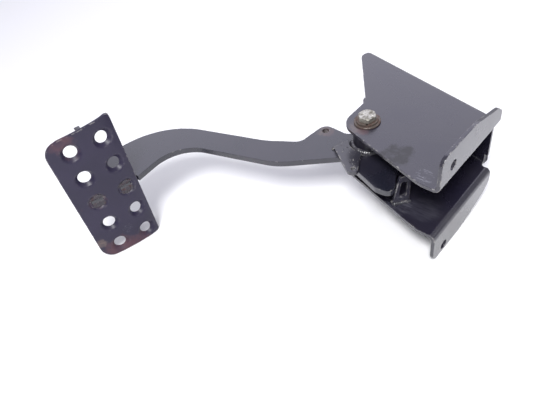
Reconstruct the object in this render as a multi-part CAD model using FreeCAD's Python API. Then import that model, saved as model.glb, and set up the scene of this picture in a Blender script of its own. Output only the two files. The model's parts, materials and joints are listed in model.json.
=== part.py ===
"""Brake pedal assembly: a folded mounting bracket, a swinging flat arm and a perforated foot pad.

Row frame: +X is the outward normal of the two mounting flanges, +Z runs along the pedal's pivot axis,
and the origin is midway between the two flange bolt holes, on the mounting plane.

Everything is drawn in the pivot frame first, whose origin is on the pivot axis midway between the two
cheeks of the bracket, and is moved to the row frame when it is written.
"""
import FreeCAD, Part
import math
import os
from FreeCAD import Vector

# ---- bracket ---------------------------------------------------------------------------------
SHEET = 3.2                # folded bracket sheet
GAP = 50.8                 # clear width between the cheeks
BEND_IN = 3.0              # inside radius of every fold
MOUNT_X = 96.5             # pivot axis to the mounting plane
NEAR_Y = -44.8             # near end of both flanges
FAR_Y = 56.0               # far end of both flanges
TOP_FLANGE = 31.0          # height of the upper flange above the upper cheek
LOW_FLANGE = 30.4          # height of the lower flange below the lower cheek
BOLT_Y = -26.5             # both mounting holes sit this far along the flange
TOP_HOLE = 14.0            # upper mounting hole above the upper cheek
LOW_HOLE = 23.3            # lower mounting hole below the lower cheek
MOUNT_HOLE_R = 4.5
BOSS_R = 19.0              # rounded nose of each cheek about the pivot
FRONT_SLOPE = -17.6        # direction of the open front edge of each cheek
BACK_NOSE = Vector(-82.3, 107.2, 0)   # corner of the cheeks where the web starts
WEB_RIGHT = Vector(MOUNT_X, 60.0, 0)  # outer face of the web, at the flanges
RELIEF_R = 3.4             # corner relief where web, cheek and flange meet

# ---- pivot hardware --------------------------------------------------------------------------
BOLT_R = 5.0
CHEEK_HOLE_R = 5.2
HEAD_FLATS = 14.8
HEAD_HEIGHT = 4.5
FLAT_WASHER_R = 12.0
FLAT_WASHER_T = 1.6
LOCK_WASHER_R = 10.0
LOCK_WASHER_T = 1.8
NUT_HEIGHT = 9.4
THREAD_PROUD = 2.6
SLEEVE_R = 8.0
BUSH_BORE_R = 8.05
BUSH_R = 10.5
BUSH_FLANGE_R = 13.0
BUSH_FLANGE_T = 2.0
BUSH_LENGTH = 16.0
SIDE_PLAY = 0.4            # gap between each bush flange and its cheek
TUBE_R = 13.5

# ---- pedal arm -------------------------------------------------------------------------------
ARM_T = 6.0
PUSHROD = Vector(-46.0, -4.7, 0)      # hole for the pushrod clevis pin
PUSHROD_R = 3.3
HUB_WELD = 4.0             # leg of the fillet weld round the pivot tube
LEVER_T = 4.0
SPRING_HOLE = Vector(11.0, -38.9, 0)
SPRING_HOLE_R = 1.9

# ---- foot pad --------------------------------------------------------------------------------
PAD_T = 3.0
PAD_TOP = 75.6             # left end of the pad's upper edge, above the middle row of holes
PAD_TIP = 79.2             # right end of the same edge, which slants
PAD_BOTTOM = -71.5         # lower edge
PITCH = 30.0               # hole to hole, both ways
ROWS = 5
PAD_LEFT = Vector(-168.6, -196.7, 0)  # left column of holes, on the foot side
PAD_ANGLE = 75.7           # direction from the left column to the right one
PAD_R = 180.0              # foot-side radius of the pad's main curve
LIP_R = 35.0               # foot-side radius of the turned-back right edge
LEFT_MARGIN = 20.7         # hole column to the left edge, along the curve
RIGHT_MARGIN = 14.5        # hole column to the top of the right edge, along the curve
LOW_MARGIN = 12.5          # hole column to the bottom of the right edge, which slants
LEFT_CORNER_R = 14.0
RIGHT_CORNER_R = 3.0
MOUTH_R = 8.6              # dimple mouth on the foot side
THROAT_R = 6.0             # dimple throat at the back
DIMPLE = 1.4               # how far each dimple stands out behind the sheet
RIB_T = 5.0
RIB_DEPTH = 9.0
PAD_WELD = 4.0
WELD_START = -6.0          # both ends of the pad's weld, along the curve from the left column
WELD_END = 40.0

# ---- stop tab --------------------------------------------------------------------------------
TAB_LEFT = Vector(45.6, -29.6, 0)     # foot of the tab, nearest the pedal's tail
TAB_RIGHT = Vector(55.6, -18.2, 0)
TAB_T = 3.2
TAB_HEIGHT = 31.5

UP = Vector(0, 0, 1)
HALF_GAP = GAP / 2
OUTER = HALF_GAP + SHEET
BEND_OUT = BEND_IN + SHEET
TOP_HOLE_Z = OUTER + TOP_HOLE
LOW_HOLE_Z = -OUTER - LOW_HOLE
PAST_ALL = 200             # a cutting block this long reaches past the whole bracket
ORIGIN = Vector(MOUNT_X, BOLT_Y, (TOP_HOLE_Z + LOW_HOLE_Z) / 2)


def rounded_edges(corners):
    """Edges of a closed outline given as (x, y, radius) corners, with an arc at each radius."""
    count = len(corners)
    points = [Vector(x, y, 0) for x, y, _ in corners]
    starts = []
    ends = []
    arcs = []
    for i, (_, _, radius) in enumerate(corners):
        here = points[i]
        back = (points[i - 1] - here).normalize()
        ahead = (points[(i + 1) % count] - here).normalize()
        if radius <= 0:
            starts.append(here)
            ends.append(here)
            arcs.append(None)
            continue
        half = back.getAngle(ahead) / 2
        run = radius / math.tan(half)
        middle = (back + ahead).normalize() * (radius / math.sin(half) - radius)
        starts.append(here + back * run)
        ends.append(here + ahead * run)
        arcs.append(Part.Arc(here + back * run, here + middle, here + ahead * run).toShape())
    edges = []
    for i in range(count):
        if arcs[i]:
            edges.append(arcs[i])
        following = starts[(i + 1) % count]
        if ends[i].distanceToPoint(following) > 1e-6:
            edges.append(Part.LineSegment(ends[i], following).toShape())
    return edges


def plate(corners, low, high):
    """Flat plate with a rounded outline in the XY plane, between two heights."""
    face = Part.Face(Part.Wire(rounded_edges(corners)))
    solid = face.extrude(Vector(0, 0, high - low))
    solid.translate(Vector(0, 0, low))
    return solid


def upright(shape, angle, place):
    """Stand a shape drawn in XY up on its X axis, turn it to an angle about Z and move it."""
    shape.rotate(Vector(0, 0, 0), Vector(1, 0, 0), 90)
    shape.rotate(Vector(0, 0, 0), UP, angle)
    shape.translate(place)
    return shape


def rod(radius, low, high, at=Vector(0, 0, 0)):
    """Upright cylinder between two heights."""
    return Part.makeCylinder(radius, high - low, Vector(at.x, at.y, low))


def ring(outer, inner, low, high):
    """Upright tube round the pivot axis."""
    return rod(outer, low, high).cut(rod(inner, low, high))


def hexagon(flats, low, high):
    """Hexagonal prism round the pivot axis."""
    radius = flats / math.sqrt(3)
    spots = [math.radians(60 * i + 12) for i in range(6)]
    corners = [(radius * math.cos(a), radius * math.sin(a), 0) for a in spots]
    return plate(corners, low, high)


def crown(flats, low, high, up):
    """Hexagon whose corners are chamfered at its upper or lower end."""
    prism = hexagon(flats, low, high)
    inner = flats * 0.49
    length = high - low
    outer = inner + length * math.tan(math.radians(60))
    if up:
        cone = Part.makeCone(outer, inner, length, Vector(0, 0, low))
    else:
        cone = Part.makeCone(inner, outer, length, Vector(0, 0, low))
    return prism.common(cone)


# ---- bracket pieces --------------------------------------------------------------------------
def cheek_outline():
    """Corners of both cheeks, seen along the pivot axis."""
    slope = math.radians(FRONT_SLOPE)
    tangent = Vector(BOSS_R * math.sin(slope), -BOSS_R * math.cos(slope), 0)
    run = Vector(math.cos(slope), math.sin(slope), 0)
    nose = tangent - run * ((tangent.x + BOSS_R) / run.x)
    knee = tangent + run * ((NEAR_Y - tangent.y) / run.y)
    return [
        (nose.x, nose.y, BOSS_R),
        (knee.x, knee.y, 40),
        (MOUNT_X + 2, NEAR_Y, 0),
        (MOUNT_X + 2, WEB_RIGHT.y, 0),
        (BACK_NOSE.x, BACK_NOSE.y, 9),
        (-BOSS_R, 25.2, 20),
    ]


def channel_section(reach, run):
    """Straight U-shaped channel along Y: its web stands at X = 0 and both cheeks reach towards +X."""
    wall = Part.makeBox(reach, run, 2 * OUTER, Vector(0, 0, -OUTER))
    hollow = Part.makeBox(reach, run, GAP, Vector(SHEET, 0, -HALF_GAP))
    wall = wall.makeFillet(BEND_OUT, [e for e in wall.Edges if along_fold(e, 0)])
    hollow = hollow.makeFillet(BEND_IN, [e for e in hollow.Edges if along_fold(e, SHEET)])
    return wall.cut(hollow)


def along_fold(edge, x):
    """True for an edge that runs along Y at the given X."""
    first = edge.Vertexes[0].Point
    last = edge.Vertexes[-1].Point
    return abs(first.x - x) < 1e-6 and abs(last.x - x) < 1e-6 and abs(first.y - last.y) > 1


def channel():
    """The two cheeks and the web, before the flanges are added."""
    along = WEB_RIGHT - BACK_NOSE
    angle = math.degrees(math.atan2(along.y, along.x))
    section = channel_section(PAST_ALL, along.Length + PAST_ALL)
    section.translate(Vector(0, -PAST_ALL / 2, 0))
    section.rotate(Vector(0, 0, 0), UP, angle - 90)
    section.translate(BACK_NOSE)
    body = section.common(plate(cheek_outline(), -OUTER, OUTER))
    corner = Vector(MOUNT_X - BEND_OUT, -PAST_ALL / 2, -PAST_ALL / 2)
    past_fold = Part.makeBox(PAST_ALL, PAST_ALL, PAST_ALL, corner)
    return body.cut(past_fold)


def flange_corners(height):
    """Outline of one flange in (Y, distance from the cheek), with its outer corners rounded."""
    return [
        (NEAR_Y, -SHEET, 0),
        (NEAR_Y, height, 9),
        (6, height - 0.5, 60),
        (47, height - 11.5, 9),
        (FAR_Y, height - 19, 6),
        (FAR_Y, -SHEET, 0),
    ]


def flange(height, hole_height):
    """One end flange that stands up from a cheek, drawn with the cheek's face at zero."""
    start = MOUNT_X - 14
    plate_part = Part.makeBox(14, 160, SHEET, Vector(start, -80, -SHEET))
    leaf = Part.makeBox(SHEET, 160, height + SHEET, Vector(MOUNT_X - SHEET, -80, -SHEET))
    corner = Part.makeBox(BEND_OUT, 160, BEND_OUT, Vector(MOUNT_X - BEND_OUT, -80, -SHEET))
    axis_at = Vector(MOUNT_X - BEND_OUT, -80, BEND_IN)
    outer = Part.makeCylinder(BEND_OUT, 160, axis_at, Vector(0, 1, 0))
    inner = Part.makeCylinder(BEND_IN, 160, axis_at, Vector(0, 1, 0))
    fold = corner.common(outer).cut(inner)
    angle = plate_part.cut(corner).fuse([leaf.cut(corner), fold]).removeSplitter()
    face = Part.Face(Part.Wire(rounded_edges(flange_corners(height))))
    outline = face.extrude(Vector(0, 0, 40))
    outline.rotate(Vector(0, 0, 0), Vector(1, 1, 1), 120)
    outline.translate(Vector(MOUNT_X - 30, 0, 0))
    drill = Part.makeCylinder(MOUNT_HOLE_R, 20, Vector(MOUNT_X - 10, BOLT_Y, hole_height), Vector(1, 0, 0))
    return angle.common(outline).cut(drill)


def bracket_channel():
    """Folded bracket: cheeks, web and both mounting flanges in one sheet."""
    top = flange(TOP_FLANGE, TOP_HOLE)
    top.translate(Vector(0, 0, OUTER))
    low = flange(LOW_FLANGE, LOW_HOLE)
    low = low.mirror(Vector(0, 0, 0), UP)
    low.translate(Vector(0, 0, -OUTER))
    outline = plate(cheek_outline(), -PAST_ALL, PAST_ALL)
    body = channel()
    for leaf in (top, low):
        body = body.fuse(leaf.common(outline))
    for side in (1, -1):
        relief = rod(RELIEF_R, 15, 45, Vector(MOUNT_X - BEND_OUT, WEB_RIGHT.y - 1.5, 0))
        if side < 0:
            relief = relief.mirror(Vector(0, 0, 0), UP)
        body = body.cut(relief)
    body = body.cut(rod(CHEEK_HOLE_R, -80, 80))
    return body.removeSplitter()


def tab_angle():
    """Direction of the stop tab's foot, in degrees."""
    foot = TAB_RIGHT - TAB_LEFT
    return math.degrees(math.atan2(foot.y, foot.x))


def stop_tab():
    """Tapered tab with an oblong hole that stands on the lower cheek and stops the pedal's tail."""
    width = (TAB_RIGHT - TAB_LEFT).Length
    corners = [(0, 0, 0), (width, 0, 0), (width + 0.6, TAB_HEIGHT, 5), (width - 9.6, TAB_HEIGHT, 4.5)]
    tab = plate(corners, -TAB_T / 2, TAB_T / 2)
    slot = plate([(5.4, 7, 2.6), (11.6, 7, 2.6), (12.6, 25, 2.4), (7.4, 25, 2.2)], -TAB_T, TAB_T)
    return upright(tab.cut(slot), tab_angle(), TAB_LEFT + Vector(0, 0, -HALF_GAP))


def stop_tab_weld(side):
    """Fillet weld along one side of the tab's foot."""
    leg = 2.6
    width = (TAB_RIGHT - TAB_LEFT).Length - 2
    edge = TAB_T / 2 * side
    corners = [Vector(1, edge, 0), Vector(1, edge + leg * side, 0), Vector(1, edge, leg)]
    face = Part.Face(Part.makePolygon(corners + corners[:1]))
    bead = face.extrude(Vector(width, 0, 0))
    bead.rotate(Vector(0, 0, 0), UP, tab_angle())
    bead.translate(TAB_LEFT + Vector(0, 0, -HALF_GAP))
    return bead


# ---- pivot hardware --------------------------------------------------------------------------
def head_base():
    """Height of the underside of the bolt's head."""
    return OUTER + FLAT_WASHER_T + LOCK_WASHER_T


def pivot_bolt():
    """Hex bolt through both cheeks."""
    base = head_base()
    end = -OUTER - FLAT_WASHER_T - NUT_HEIGHT - THREAD_PROUD
    shank = rod(BOLT_R, end, base)
    shank = shank.makeChamfer(0.8, [e for e in shank.Edges if abs(e.CenterOfMass.z - end) < 1e-6])
    return shank.fuse(crown(HEAD_FLATS, base, base + HEAD_HEIGHT, True)).removeSplitter()


def split_lock_washer():
    """Spring washer under the bolt's head, with its slanted split towards the near side."""
    low = OUTER + FLAT_WASHER_T
    washer = ring(LOCK_WASHER_R, BOLT_R + 0.3, low, low + LOCK_WASHER_T)
    gap = Part.makeBox(1.1, 12, 12, Vector(-0.55, -14, -6))
    gap.rotate(Vector(0, 0, 0), Vector(0, 1, 0), 32)
    gap.translate(Vector(0, 0, low + LOCK_WASHER_T / 2))
    gap.rotate(Vector(0, 0, 0), UP, 32)
    return washer.cut(gap)


def flat_washer(low):
    """Plain washer whose lower face is at the given height."""
    washer = ring(FLAT_WASHER_R, BOLT_R + 0.3, low, low + FLAT_WASHER_T)
    rims = [e for e in washer.Edges if e.Length > 2 * math.pi * FLAT_WASHER_R - 0.5 and len(e.Vertexes) == 1]
    return washer.makeChamfer(0.3, rims)


def lock_nut():
    """Nut with a collar, under the lower cheek."""
    top = -OUTER - FLAT_WASHER_T
    low = top - NUT_HEIGHT
    body = crown(HEAD_FLATS, low + 2.6, top, False)
    collar = rod(HEAD_FLATS * 0.46, low, low + 2.7)
    return body.fuse(collar).cut(rod(BOLT_R + 0.02, low - 1, top + 1)).removeSplitter()


def spacer_sleeve():
    """Steel sleeve that the cheeks clamp and the pedal turns on."""
    return ring(SLEEVE_R, BOLT_R + 0.1, -HALF_GAP, HALF_GAP)


# ---- pedal pieces ----------------------------------------------------------------------------
def pivot_tube():
    """Tube welded through the arm, which holds both bushes."""
    half = HALF_GAP - SIDE_PLAY - BUSH_FLANGE_T
    return ring(TUBE_R, BUSH_R, -half, half)


def bush(side):
    """Flanged bush in one end of the pivot tube."""
    outer = HALF_GAP - SIDE_PLAY
    seat = outer - BUSH_FLANGE_T
    body = ring(BUSH_R, BUSH_BORE_R, outer - BUSH_LENGTH, seat)
    collar = ring(BUSH_FLANGE_R, BUSH_BORE_R, seat, outer)
    piece = body.fuse(collar).removeSplitter()
    if side < 0:
        piece = piece.mirror(Vector(0, 0, 0), UP)
    return piece


def arm_outline():
    """Corners of the arm, from the hub out along the far edge to the pad and back."""
    return [
        (4, 24.5, 17),
        (-15, 12, 12),
        (-25, 1.5, 10),
        (-52.8, 3.2, 9),
        (-56.8, -30.5, 11),
        (-88, -47, 80),
        (-216, -86.7, 79),
        (-215, -156, 20),
        (-178.5, -200, 4),
        (-160, -205, 0),
        (-152, -176, 0),
        (-160.5, -156, 0),
        (-165, -98.5, 41),
        (-57.5, -66.8, 66),
        (-9, -28, 6),
        (38, -45.2, 8),
        (55.4, -43.6, 6),
        (27.8, 11, 14),
    ]


def pedal_arm():
    """Flat arm with the hub, the pushrod ear and the tail that meets the stop."""
    arm = plate(arm_outline(), -ARM_T / 2, ARM_T / 2)
    arm = arm.cut(foot_side())
    arm = arm.cut(rod(TUBE_R, -20, 20))
    arm = arm.cut(rod(PUSHROD_R, -20, 20, PUSHROD))
    return arm


def hub_weld(side, base):
    """Fillet weld between the pivot tube and one face of the arm."""
    cone = Part.makeCone(TUBE_R + HUB_WELD, TUBE_R + 0.4, HUB_WELD, Vector(0, 0, base))
    bead = cone.cut(rod(TUBE_R, base - 1, base + HUB_WELD + 1))
    if side < 0:
        bead = bead.mirror(Vector(0, 0, 0), UP)
    return bead


def spring_lever():
    """Small lever for the return spring's hook, welded on the arm beside the hub."""
    corners = [(-21.5, -24, 1.5), (9.4, -45, 4), (17.2, -41, 4), (7, -22, 20), (3, -6, 1), (-15, -5, 2)]
    lever = plate(corners, ARM_T / 2, ARM_T / 2 + LEVER_T)
    lever = lever.cut(rod(TUBE_R + HUB_WELD, 0, 20))
    return lever.cut(rod(SPRING_HOLE_R, 0, 20, SPRING_HOLE))


def spring_lever_weld():
    """Bead that joins the lever's outer corner to the arm."""
    start = Vector(-22.6, -22.6, ARM_T / 2)
    end = Vector(-19.4, -12.4, ARM_T / 2)
    bead = Part.makeCylinder(2.4, (end - start).Length, start, end - start)
    bead = bead.fuse([Part.makeSphere(2.4, start), Part.makeSphere(2.4, end)])
    floor_cut = Part.makeBox(60, 60, 20, Vector(-50, -50, ARM_T / 2 - 20))
    return bead.cut(floor_cut).cut(spring_lever()).removeSplitter()


# ---- foot pad --------------------------------------------------------------------------------
def pad_direction():
    """Unit vector from the left column of holes to the right one."""
    angle = math.radians(PAD_ANGLE)
    return Vector(math.cos(angle), math.sin(angle), 0)


def pad_centre():
    """Axis of the pad's main curve, which lies behind the pad."""
    along = pad_direction()
    behind = Vector(-along.y, along.x, 0)
    depth = math.sqrt(PAD_R ** 2 - (PITCH / 2) ** 2)
    return PAD_LEFT + along * (PITCH / 2) + behind * depth


def pad_point(s, radius_cut):
    """Point on the pad's main curve, s mm from the left column, radius_cut behind the foot side."""
    centre = pad_centre()
    start = PAD_LEFT - centre
    angle = math.atan2(start.y, start.x) + s / PAD_R
    radius = PAD_R - radius_cut
    return centre + Vector(math.cos(angle), math.sin(angle), 0) * radius


def pad_normal(s):
    """Outward normal of the foot side at s on the main curve."""
    return (pad_point(s, 0) - pad_centre()).normalize()


def lip_point(turn, radius_cut):
    """Point on the turned-back lip, turn radians past the right column."""
    normal = pad_normal(PITCH)
    centre = pad_point(PITCH, 0) - normal * LIP_R
    angle = math.atan2(normal.y, normal.x) + turn
    radius = LIP_R - radius_cut
    return centre + Vector(math.cos(angle), math.sin(angle), 0) * radius


def pad_curve(radius_cut, end_run):
    """Edges of the pad's section at a depth behind the foot side, from left to right."""
    left = -LEFT_MARGIN
    turn = end_run / LIP_R
    main = Part.Arc(pad_point(left, radius_cut), pad_point(0, radius_cut), pad_point(PITCH, radius_cut))
    lip = Part.Arc(lip_point(0, radius_cut), lip_point(turn / 2, radius_cut), lip_point(turn, radius_cut))
    return [main.toShape(), lip.toShape()]


def joined(first, second):
    """Straight edge between two points."""
    return Part.LineSegment(first, second).toShape()


def pad_sheet():
    """Curved sheet of the pad, before its corners and holes are cut."""
    turn = RIGHT_MARGIN / LIP_R
    front = pad_curve(0, RIGHT_MARGIN)
    back = pad_curve(PAD_T, RIGHT_MARGIN)
    sides = [
        joined(lip_point(turn, 0), lip_point(turn, PAD_T)),
        joined(pad_point(-LEFT_MARGIN, PAD_T), pad_point(-LEFT_MARGIN, 0)),
    ]
    wire = Part.Wire(Part.__sortEdges__(front + back + sides))
    sheet = Part.Face(wire).extrude(Vector(0, 0, PAD_TIP - PAD_BOTTOM))
    sheet.translate(Vector(0, 0, PAD_BOTTOM))
    return sheet


def foot_side():
    """Block that fills the space on the foot side of the pad's back face."""
    turn = RIGHT_MARGIN / LIP_R
    start = pad_point(-LEFT_MARGIN, PAD_T)
    end = lip_point(turn, PAD_T)
    corners = [
        start,
        start + (pad_point(-LEFT_MARGIN, 0) - start) * 20,
        end + (lip_point(turn, 0) - end) * 20,
        end,
    ]
    sides = [joined(a, b) for a, b in zip(corners, corners[1:])]
    wire = Part.Wire(Part.__sortEdges__(pad_curve(PAD_T, RIGHT_MARGIN) + sides))
    block = Part.Face(wire).extrude(Vector(0, 0, 60))
    block.translate(Vector(0, 0, -30))
    return block


def pad_outline():
    """Prism with the pad's outline, as seen square on from the foot side."""
    left = pad_point(-LEFT_MARGIN, 0)
    low_right = lip_point(LOW_MARGIN / LIP_R, 0)
    top_right = lip_point(RIGHT_MARGIN / LIP_R, 0)
    along = pad_direction()
    edge, low_edge, top_edge = [(point - PAD_LEFT).dot(along) for point in (left, low_right, top_right)]
    corners = [
        (edge, PAD_BOTTOM, LEFT_CORNER_R),
        (low_edge, PAD_BOTTOM, RIGHT_CORNER_R),
        (top_edge, PAD_TIP, RIGHT_CORNER_R),
        (edge, PAD_TOP, LEFT_CORNER_R),
    ]
    return upright(plate(corners, -40, 40), PAD_ANGLE, PAD_LEFT)


def hole_spots():
    """Every hole as (distance along the curve, height)."""
    rows = range(-(ROWS // 2), ROWS // 2 + 1)
    return [(s, row * PITCH) for s in (0, PITCH) for row in rows]


def dimple(s, height, inside):
    """One dimple: its outer boss behind the sheet, or the funnel cut through it."""
    normal = pad_normal(s)
    front = pad_point(s, 0) + Vector(0, 0, height)
    if inside:
        depth = PAD_T if height == 0 else PAD_T + DIMPLE
        flare = Part.makeCone(MOUTH_R, THROAT_R, depth, front, -normal)
        through = Part.makeCylinder(THROAT_R, 14, front + normal * 4, -normal)
        mouth = Part.makeCylinder(MOUTH_R, 4, front + normal * 4, -normal)
        return flare.fuse([through, mouth])
    start = front - normal * (PAD_T - 1)
    return Part.makeCone(MOUTH_R + 1.4, THROAT_R + 1.9, DIMPLE + 1, start, -normal)


def foot_pad():
    """Pad with two columns of dimpled holes."""
    pad = pad_sheet().common(pad_outline())
    for s, height in hole_spots():
        if height:
            pad = pad.fuse(dimple(s, height, False))
    for s, height in hole_spots():
        pad = pad.cut(dimple(s, height, True))
    return pad


def pad_rib(side):
    """Stiffening rib behind the pad, midway between the hole columns."""
    low = ARM_T / 2 + PAD_WELD + 0.5
    high = PAD_TOP if side > 0 else -PAD_BOTTOM - 0.5
    middle = PITCH / 2
    normal = pad_normal(middle)
    angle = math.degrees(math.atan2(-normal.y, -normal.x))
    corners = [(0, low, 0), (PAD_T + RIB_DEPTH, low, 3), (PAD_T + RIB_DEPTH, high, 2), (0, high, 0)]
    rib = upright(plate(corners, -RIB_T / 2, RIB_T / 2), angle, pad_point(middle, 0))
    rib = rib.common(rod(PAD_R - PAD_T, -100, 100, pad_centre()))
    if side < 0:
        rib = rib.mirror(Vector(0, 0, 0), UP)
    return rib


def pad_weld(side):
    """Fillet weld between the pad's back and one face of the arm."""
    back = PAD_R - PAD_T
    base = ARM_T / 2
    corners = [Vector(back, 0, base), Vector(back - PAD_WELD, 0, base), Vector(back, 0, base + PAD_WELD)]
    face = Part.Face(Part.makePolygon(corners + corners[:1]))
    bead = face.revolve(Vector(0, 0, 0), UP, math.degrees((WELD_END - WELD_START) / PAD_R))
    toward = pad_point(WELD_START, 0) - pad_centre()
    bead.rotate(Vector(0, 0, 0), UP, math.degrees(math.atan2(toward.y, toward.x)))
    bead.translate(pad_centre())
    bead = bead.cut(foot_side())
    if side < 0:
        bead = bead.mirror(Vector(0, 0, 0), UP)
    return bead


def build():
    """Every node of the assembly, by name."""
    face = ARM_T / 2
    return {
        "bracket_channel": bracket_channel(),
        "stop_tab": stop_tab(),
        "stop_tab_weld_near": stop_tab_weld(-1),
        "stop_tab_weld_far": stop_tab_weld(1),
        "pivot_bolt": pivot_bolt(),
        "split_lock_washer": split_lock_washer(),
        "upper_flat_washer": flat_washer(OUTER),
        "lower_flat_washer": flat_washer(-OUTER - FLAT_WASHER_T),
        "lock_nut": lock_nut(),
        "spacer_sleeve": spacer_sleeve(),
        "pedal_arm": pedal_arm(),
        "pivot_tube": pivot_tube(),
        "upper_bush": bush(1),
        "lower_bush": bush(-1),
        "upper_hub_weld": hub_weld(1, face),
        "lower_hub_weld": hub_weld(-1, face),
        "spring_lever": spring_lever(),
        "spring_lever_weld": spring_lever_weld(),
        "foot_pad": foot_pad(),
        "upper_pad_rib": pad_rib(1),
        "lower_pad_rib": pad_rib(-1),
        "upper_pad_weld": pad_weld(1),
        "lower_pad_weld": pad_weld(-1),
    }


def main():
    """Write one STEP file per node."""
    os.makedirs("parts", exist_ok=True)
    for name, shape in build().items():
        shape.translate(ORIGIN * -1)
        shape.exportStep("parts/%s.step" % name)


main()
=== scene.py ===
"""Looks of a brake pedal assembly: a folded bracket, a swinging arm and a perforated foot pad.

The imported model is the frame. Its sheet and plate nodes are shown as copies with rounded edges, and
the fasteners, the stamped pad, the weld beads and the weld spatter are modelled here.
"""
import json
import logging
import math
import random
from dataclasses import dataclass, field
from enum import Enum
from typing import Callable

import bmesh
import bpy
from bpy.types import Material, Node, NodeSocket, NodeTree, Object
from mathutils import Matrix, Vector


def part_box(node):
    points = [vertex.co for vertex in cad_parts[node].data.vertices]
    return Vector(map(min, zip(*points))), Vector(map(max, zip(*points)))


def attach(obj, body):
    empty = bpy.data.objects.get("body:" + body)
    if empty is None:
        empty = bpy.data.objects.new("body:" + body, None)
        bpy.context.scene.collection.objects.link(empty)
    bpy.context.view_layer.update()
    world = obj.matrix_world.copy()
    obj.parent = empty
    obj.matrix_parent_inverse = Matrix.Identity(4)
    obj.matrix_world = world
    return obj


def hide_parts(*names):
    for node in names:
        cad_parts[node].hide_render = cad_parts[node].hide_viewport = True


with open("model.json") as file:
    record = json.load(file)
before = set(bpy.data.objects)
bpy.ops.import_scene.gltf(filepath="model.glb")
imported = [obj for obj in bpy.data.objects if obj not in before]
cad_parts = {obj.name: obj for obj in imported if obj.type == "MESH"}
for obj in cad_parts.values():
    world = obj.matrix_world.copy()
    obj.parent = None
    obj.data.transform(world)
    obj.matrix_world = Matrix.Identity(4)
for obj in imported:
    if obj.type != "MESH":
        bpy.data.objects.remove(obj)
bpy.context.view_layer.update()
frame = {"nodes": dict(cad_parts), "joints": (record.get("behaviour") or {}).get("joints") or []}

LOG = logging.getLogger("brake_pedal")
MM = 0.001
PIVOT = Vector(frame["joints"][0]["pos_m"])
UP = Vector((0.0, 0.0, 1.0))
MIX_FACTOR, MIX_A, MIX_B, MIX_RESULT = 0, 6, 7, 2   # colour sockets of the Mix node


class Body(Enum):
    """The two bodies that pieces ride on."""

    BRACKET = "bracket"
    PEDAL = "pedal"


class MarkKind(Enum):
    """What a local mark on the paint is."""

    RUST = "rust"
    SCUFF = "scuff"
    # A dull patch: rougher paint, with a darker colour painted in as shade where the sheen is weaker.
    DULL = "dull"
    HAZE = "haze"


# ---- small tools ----
def linear(code: str) -> tuple[float, float, float, float]:
    """Turn an sRGB hex colour into linear RGBA.

    Args:
        code: The colour as "#rrggbb".

    Returns:
        The linear red, green and blue, and an alpha of one.
    """
    shares = [int(code[i:i + 2], 16) / 255 for i in (1, 3, 5)]
    red, green, blue = (s / 12.92 if s <= 0.04045 else ((s + 0.055) / 1.055) ** 2.4 for s in shares)
    return (red, green, blue, 1.0)


def per_mm(size: float) -> float:
    """Scale of a pattern whose features are this many millimetres across."""
    return 1 / (size * MM)


def set_inputs(tree: NodeTree, node: Node, inputs: dict) -> None:
    """Set a node's inputs to values, or link them to output sockets.

    Args:
        tree: The node tree.
        node: The node.
        inputs: Values or output sockets, by the name or number of the input.
    """
    for key, value in inputs.items():
        if isinstance(value, NodeSocket):
            tree.links.new(value, node.inputs[key])
        else:
            node.inputs[key].default_value = value


def add_node(
    tree: NodeTree, kind: str, out: str | int, inputs: dict | None = None, **settings: object
) -> NodeSocket:
    """Add one node, with its settings, values and links.

    Args:
        tree: The node tree.
        kind: The node's type.
        out: The name or number of the output that is wanted.
        inputs: Values or output sockets, by the name or number of the input.
        **settings: Properties of the node itself.

    Returns:
        The output socket.
    """
    node = tree.nodes.new(kind)
    for name, value in settings.items():
        setattr(node, name, value)
    set_inputs(tree, node, inputs or {})
    return node.outputs[out]


def start_material(name: str) -> tuple[Material, NodeTree, NodeSocket]:
    """Make a node material.

    Args:
        name: The material's name.

    Returns:
        The material, its node tree and the object coordinates.
    """
    made = bpy.data.materials.new(name)
    made.use_nodes = True
    return made, made.node_tree, add_node(made.node_tree, "ShaderNodeTexCoord", "Object")


def select_only(piece: Object) -> None:
    """Make one object the only selected one, and the active one.

    Args:
        piece: The object.
    """
    bpy.ops.object.select_all(action="DESELECT")
    piece.select_set(True)
    bpy.context.view_layer.objects.active = piece


def new_piece(name: str, add: Callable, **settings: object) -> Object:
    """Add one object by an operator.

    Args:
        name: The object's name.
        add: The operator.
        **settings: The operator's settings.

    Returns:
        The new object.
    """
    bpy.ops.object.select_all(action="DESELECT")
    add(**settings)
    piece = bpy.context.object
    piece.name = name
    return piece


def settle(piece: Object) -> None:
    """Move an object's place, turn and scale into its mesh."""
    select_only(piece)
    bpy.ops.object.transform_apply(location=True, rotation=True, scale=True)


def apply_modifier(piece: Object, kind: str, **settings: object) -> None:
    """Add one modifier with its settings, and apply it.

    Args:
        piece: The object.
        kind: The modifier's type.
        **settings: Properties of the modifier.
    """
    modifier = piece.modifiers.new(kind.lower(), kind)
    for name, value in settings.items():
        setattr(modifier, name, value)
    select_only(piece)
    bpy.ops.object.modifier_apply(modifier=modifier.name)


def round_edges(piece: Object, width: float, steps: int = 2, above: float = 35) -> None:
    """Round every edge that is sharper than an angle, and shade smoothly with flat faces kept flat.

    Args:
        piece: The object.
        width: Width of the rounding, in metres.
        steps: Faces across the rounding.
        above: The angle in degrees above which an edge counts as sharp.
    """
    apply_modifier(
        piece, "BEVEL", width=width, segments=steps, limit_method="ANGLE",
        angle_limit=math.radians(above), use_clamp_overlap=False, harden_normals=False,
    )
    select_only(piece)
    bpy.ops.object.shade_smooth_by_angle(angle=math.radians(40))
    apply_modifier(piece, "WEIGHTED_NORMAL", mode="FACE_AREA", keep_sharp=True)


def cut(piece: Object, tool: Object, how: str) -> None:
    """Cut a piece with another closed object, which is then removed.

    Args:
        piece: The object that stays.
        tool: The object to cut with.
        how: "DIFFERENCE" or "INTERSECT".
    """
    apply_modifier(piece, "BOOLEAN", object=tool, operation=how, solver="EXACT")
    bpy.data.objects.remove(tool)


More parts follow.
